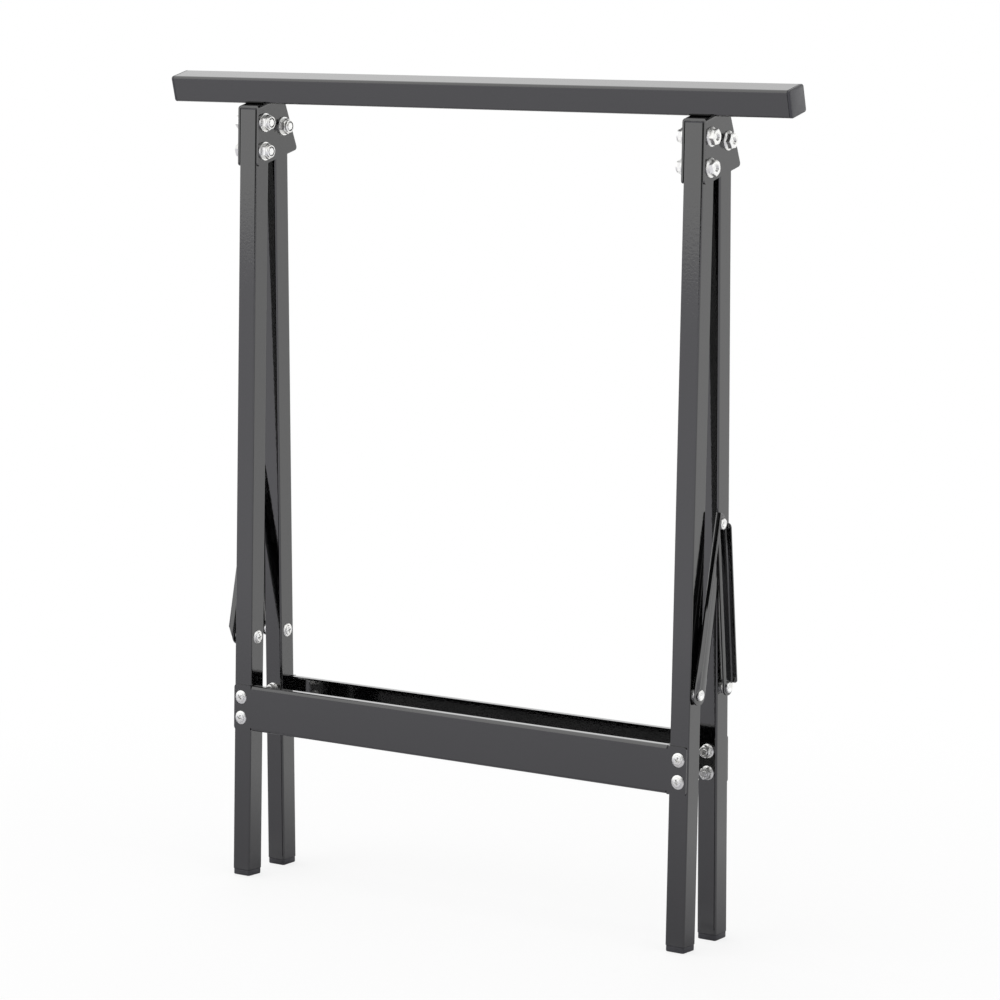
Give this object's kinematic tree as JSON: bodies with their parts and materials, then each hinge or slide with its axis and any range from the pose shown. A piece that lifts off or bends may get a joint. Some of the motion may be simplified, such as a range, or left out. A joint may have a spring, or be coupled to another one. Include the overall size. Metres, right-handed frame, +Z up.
{
  "type": "folding trestle",
  "caption": "Folding steel trestle with a square tube beam on hinged tube leg frames, held by sheet brackets, pressed stretchers and folding knee braces.",
  "frame": {"origin": "on the floor under the middle of the folded trestle", "axes": "+X along the beam to the right, +Y to the back, +Z up"},
  "size_m": [0.685, 0.0814, 0.7744],
  "materials": {
    "black_paint": "semi-gloss black powder coat",
    "black_plastic": "moulded black plastic",
    "zinc_steel": "bright zinc plate"
  },
  "bodies": {
    "front_frame": {"beam_tube": "black_paint", "beam_cap_left": "black_plastic", "beam_cap_right": "black_plastic", "bracket_left": "black_paint", "bracket_right": "black_paint", "front_leg_left": "black_paint", "front_leg_right": "black_paint", "front_leg_plugs": "black_plastic", "front_foot_left": "black_plastic", "front_foot_right": "black_plastic", "front_stretcher": "black_paint", "leg_bolts": "zinc_steel", "leg_nuts": "zinc_steel", "pivot_bolts": "zinc_steel", "pivot_nuts": "zinc_steel", "pivot_bushes": "zinc_steel", "front_stretcher_bolts": "zinc_steel", "front_stretcher_nuts": "zinc_steel", "front_brace_pins": "zinc_steel", "front_brace_spacers": "zinc_steel"},
    "rear_frame": {"rear_leg_left": "black_paint", "rear_leg_right": "black_paint", "rear_leg_plugs": "black_plastic", "rear_foot_left": "black_plastic", "rear_foot_right": "black_plastic", "rear_stretcher": "black_paint", "rear_stretcher_bolts": "zinc_steel", "rear_stretcher_nuts": "zinc_steel", "rear_brace_pins": "zinc_steel", "rear_brace_spacers": "zinc_steel"},
    "front_brace_left": {"front_link_left": "black_paint", "knee_rivet_left": "zinc_steel"},
    "rear_brace_left": {"rear_link_left": "black_paint", "rear_rivet_left": "zinc_steel"},
    "front_brace_right": {"front_link_right": "black_paint", "knee_rivet_right": "zinc_steel"},
    "rear_brace_right": {"rear_link_right": "black_paint", "rear_rivet_right": "zinc_steel"}
  },
  "joints": [
    {"name": "leg_fold", "type": "hinge", "parent": "front_frame", "child": "rear_frame", "pos_m": [0, 0.02029, 0.723], "axis": [1, 0, 0], "range_deg": [0, 30.72]},
    {"name": "brace_pin_left", "type": "hinge", "parent": "front_frame", "child": "front_brace_left", "pos_m": [-0.2575, -0.02359, 0.23414], "axis": [1, 0, 0], "range_deg": [-64.22, 0]},
    {"name": "brace_knee_left", "type": "hinge", "parent": "front_brace_left", "child": "rear_brace_left", "pos_m": [-0.2575, 0.00976, 0.38397], "axis": [1, 0, 0], "range_deg": [0, 162.52]},
    {"name": "brace_pin_right", "type": "hinge", "parent": "front_frame", "child": "front_brace_right", "pos_m": [0.2575, -0.02359, 0.23414], "axis": [1, 0, 0], "range_deg": [-64.22, 0]},
    {"name": "brace_knee_right", "type": "hinge", "parent": "front_brace_right", "child": "rear_brace_right", "pos_m": [0.2575, 0.00976, 0.38397], "axis": [1, 0, 0], "range_deg": [0, 162.52]}
  ],
  "couplings": [
    {"joint": "brace_pin_left", "follows": "leg_fold", "ratio": -2.0888},
    {"joint": "brace_knee_left", "follows": "leg_fold", "ratio": 5.2882},
    {"joint": "brace_pin_right", "follows": "leg_fold", "ratio": -2.0888},
    {"joint": "brace_knee_right", "follows": "leg_fold", "ratio": 5.2882}
  ]
}
